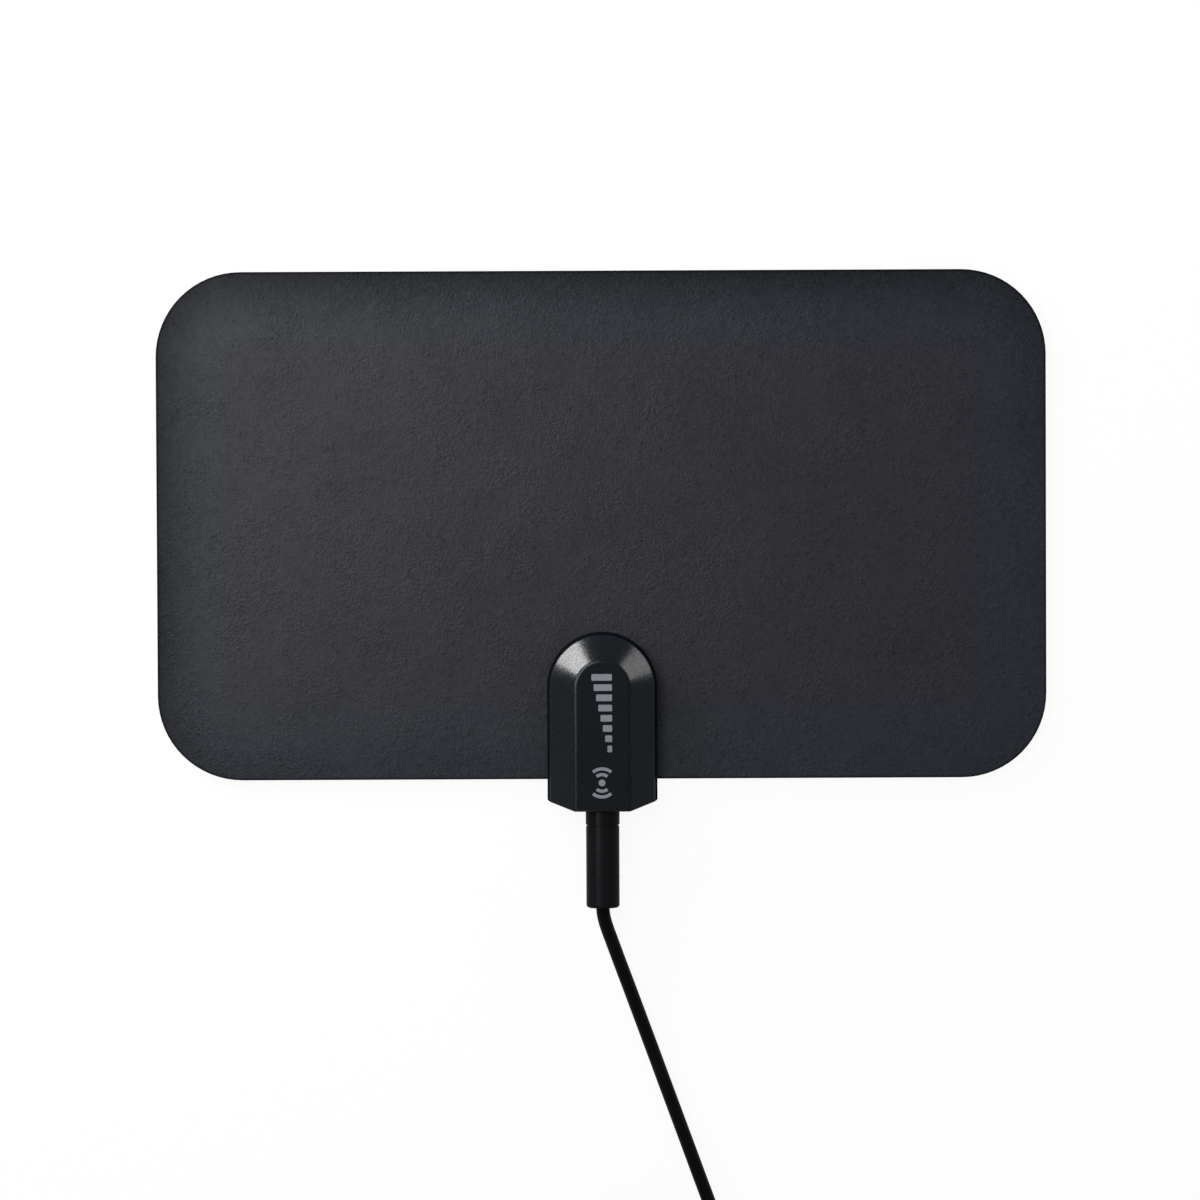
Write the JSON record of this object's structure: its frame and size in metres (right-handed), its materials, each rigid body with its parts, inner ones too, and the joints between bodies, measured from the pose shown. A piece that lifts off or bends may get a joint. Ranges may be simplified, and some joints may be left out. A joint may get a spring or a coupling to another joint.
{
  "type": "tv antenna",
  "caption": "Thin flat indoor television antenna: a grained rounded sheet with an arched connection housing, a strain relief and a coiled coaxial lead with a screw-on plug.",
  "frame": {"origin": "middle of the outline of panel and housing, seen from the front, on the surface that the antenna lies on", "axes": "+Z out of the panel's front face, +X along the panel's width, -Y towards the lead"},
  "size_m": [0.21, 0.2776, 0.0154],
  "materials": {
    "sheet_plastic": "fine-grained black sheet with a soft sheen",
    "shell_plastic": "black moulded plastic with a fine grain",
    "foil": "plain foil",
    "steel": "zinc-plated",
    "board": "solder mask",
    "brass": "plain",
    "ferrite": "sintered, dull",
    "copper": "copper",
    "braid": "tinned copper strands",
    "relief_vinyl": "satin moulded vinyl",
    "cord_vinyl": "satin vinyl jacket",
    "tie_vinyl": "vinyl-coated wire tie",
    "nickel": "nickel-plated brass",
    "natural_plastic": "natural polyethylene"
  },
  "bodies": {
    "antenna": {"front_sheet": "sheet_plastic", "rear_sheet": "sheet_plastic", "element_left": "foil", "element_right": "foil", "housing_front": "shell_plastic", "housing_rear": "shell_plastic", "cover_screws": "steel", "balun_board": "board", "feed_rivets": "brass", "ferrite_core": "ferrite", "balun_winding": "copper", "strain_relief": "relief_vinyl", "cable_entry": "cord_vinyl", "cable_insulation": "natural_plastic", "cable_conductor": "copper", "cable_braid": "braid", "cable_run": "cord_vinyl", "cable_coil": "cord_vinyl", "cable_end": "cord_vinyl", "coil_tie": "tie_vinyl", "plug_grip": "relief_vinyl", "plug_body": "nickel", "plug_insulator": "natural_plastic", "plug_pin": "copper"},
    "nut": {"coupling_nut": "nickel"}
  },
  "joints": [
    {"name": "nut_spin", "type": "hinge", "parent": "antenna", "child": "nut", "pos_m": [-0.05013, -0.20756, 0.00555], "axis": [1, 0, 0], "continuous": true}
  ]
}
